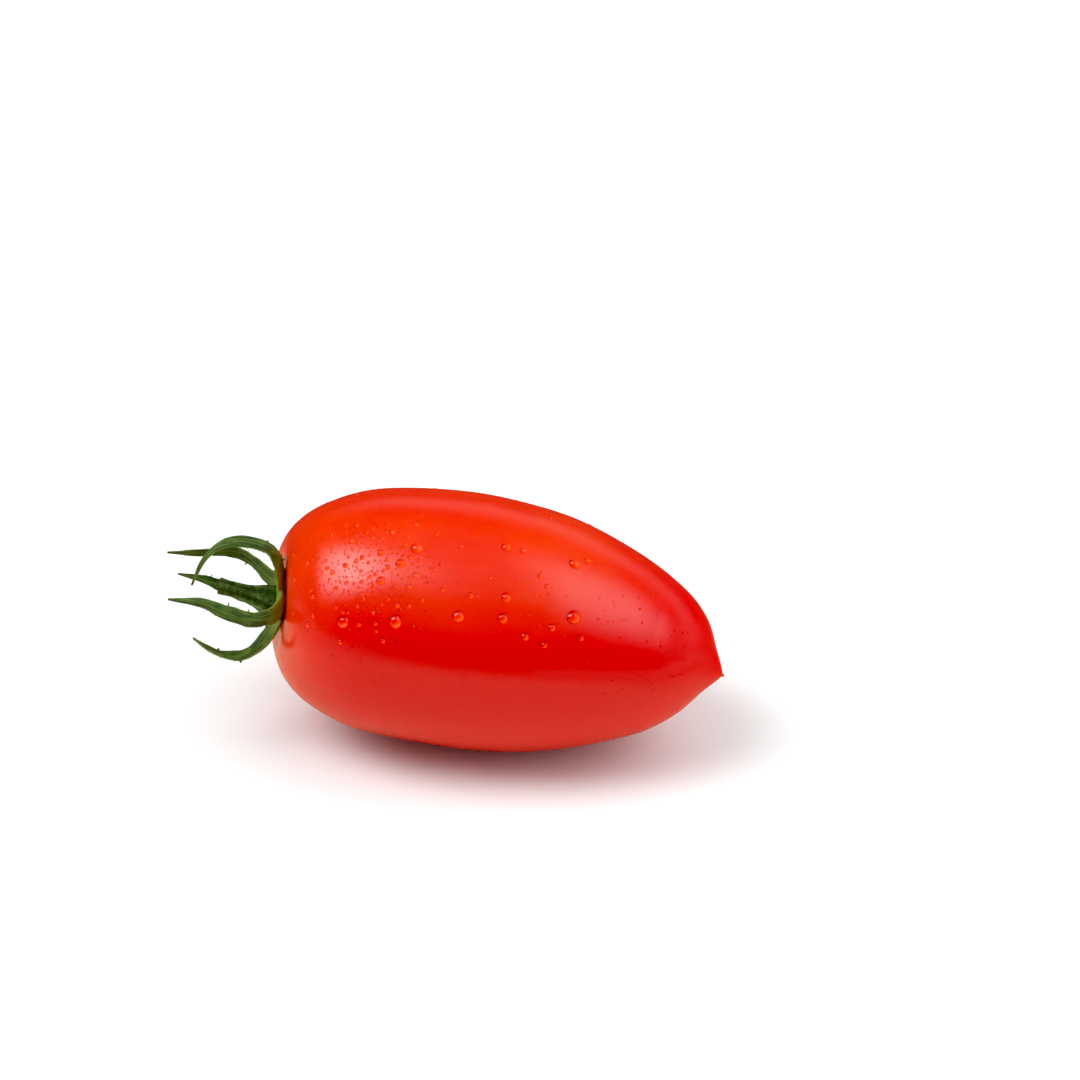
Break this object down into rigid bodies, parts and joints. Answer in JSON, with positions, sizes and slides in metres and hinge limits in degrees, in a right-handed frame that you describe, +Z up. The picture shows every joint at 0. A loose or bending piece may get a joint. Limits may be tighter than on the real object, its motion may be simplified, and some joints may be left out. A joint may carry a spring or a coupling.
{
  "type": "plum tomato",
  "caption": "Ripe elongated plum tomato as picked, lying on its side, pointed at one end, with curled green sepals and a short cut stalk stub at the other.",
  "frame": {"origin": "middle of the small flat spot that the fruit rests on", "axes": "+X along the fruit from the stalk end to the pointed end, +Z up from the surface it lies on"},
  "size_m": [0.088, 0.0404, 0.04],
  "materials": {
    "skin": "smooth glossy ripe red tomato skin, orange-red at the stalk end, with water drops on it",
    "green": "soft green leaf blade with fine lengthwise ridges and brown tips",
    "stalk": "ribbed green stalk with a dry tan cut end",
    "water": "small clear water drops, in the looks only"
  },
  "bodies": {
    "root": {"fruit": "skin", "receptacle": "green", "sepal_1": "green", "sepal_2": "green", "sepal_3": "green", "sepal_4": "green", "sepal_5": "green", "stalk_stub": "stalk"}
  },
  "joints": []
}
